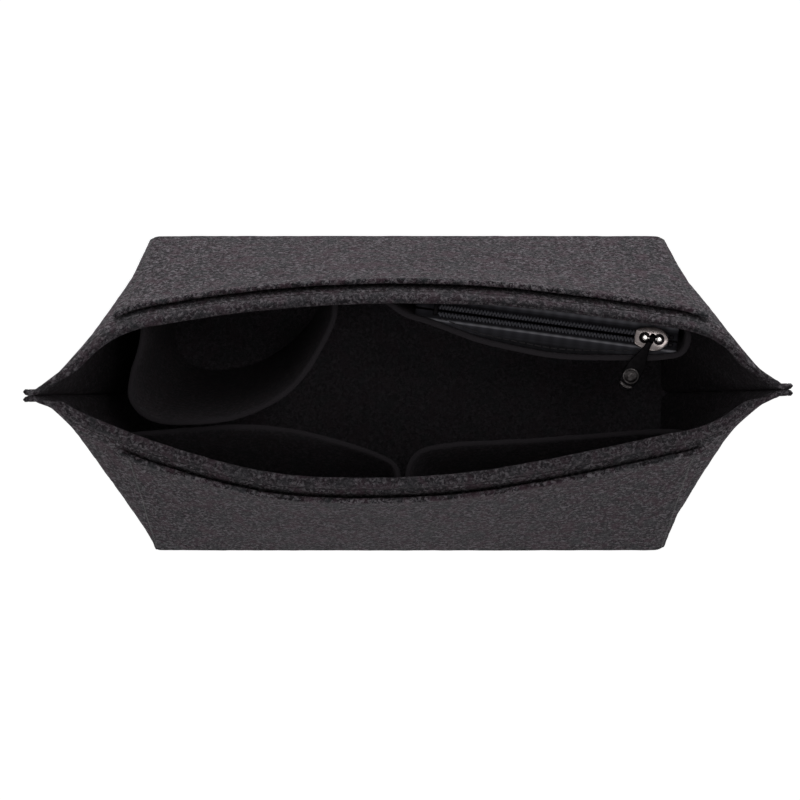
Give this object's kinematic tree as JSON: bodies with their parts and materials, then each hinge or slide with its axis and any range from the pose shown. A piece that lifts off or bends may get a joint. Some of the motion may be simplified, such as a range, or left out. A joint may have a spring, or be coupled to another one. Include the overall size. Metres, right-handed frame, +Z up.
{
  "type": "purse organizer insert",
  "caption": "Soft felt insert that stands inside a handbag, with inner and outer slip pockets, a round bottle pocket and a zipped pocket.",
  "frame": {"origin": "middle of the underside of the base", "axes": "+Z up out of the open top, +X along the organizer's length towards the closed end of the zipper, -Y towards the front wall"},
  "size_m": [0.3082, 0.1398, 0.1629],
  "materials": {
    "shell_felt": "matte mottled charcoal felt",
    "inner_felt": "matte charcoal felt, in shade",
    "zipper_tape": "woven dark grey tape",
    "zipper_coil": "satin dark nylon",
    "nickel": "polished nickel plate",
    "gunmetal": "satin gunmetal"
  },
  "bodies": {
    "shell": {"rear_wall": "shell_felt", "front_wall": "shell_felt", "base_panel": "shell_felt", "rear_outer_pocket": "shell_felt", "front_outer_pocket": "shell_felt", "bottle_pocket": "inner_felt", "front_left_pocket": "inner_felt", "front_right_pocket": "inner_felt", "zip_pocket_panel": "inner_felt", "zipper_tape_rear": "zipper_tape", "zipper_tape_front": "zipper_tape", "zipper_coil_rear": "zipper_coil", "zipper_coil_front": "zipper_coil", "top_stop_rear": "nickel", "top_stop_front": "nickel", "bottom_stop": "nickel"},
    "slider": {"slider_body": "nickel", "slider_crown": "nickel"},
    "pull": {"pull_tab": "gunmetal", "pull_rivet": "nickel"}
  },
  "joints": [
    {"name": "zipper_slide", "type": "slide", "parent": "shell", "child": "slider", "axis": [-0.9912, 0.1323, 0], "range_m": [0, 0.08]},
    {"name": "pull_hinge", "type": "hinge", "parent": "slider", "child": "pull", "pos_m": [0.09841, 0.02179, 0.15165], "axis": [-0.9912, 0.1323, 0], "range_deg": [0, 105]}
  ]
}
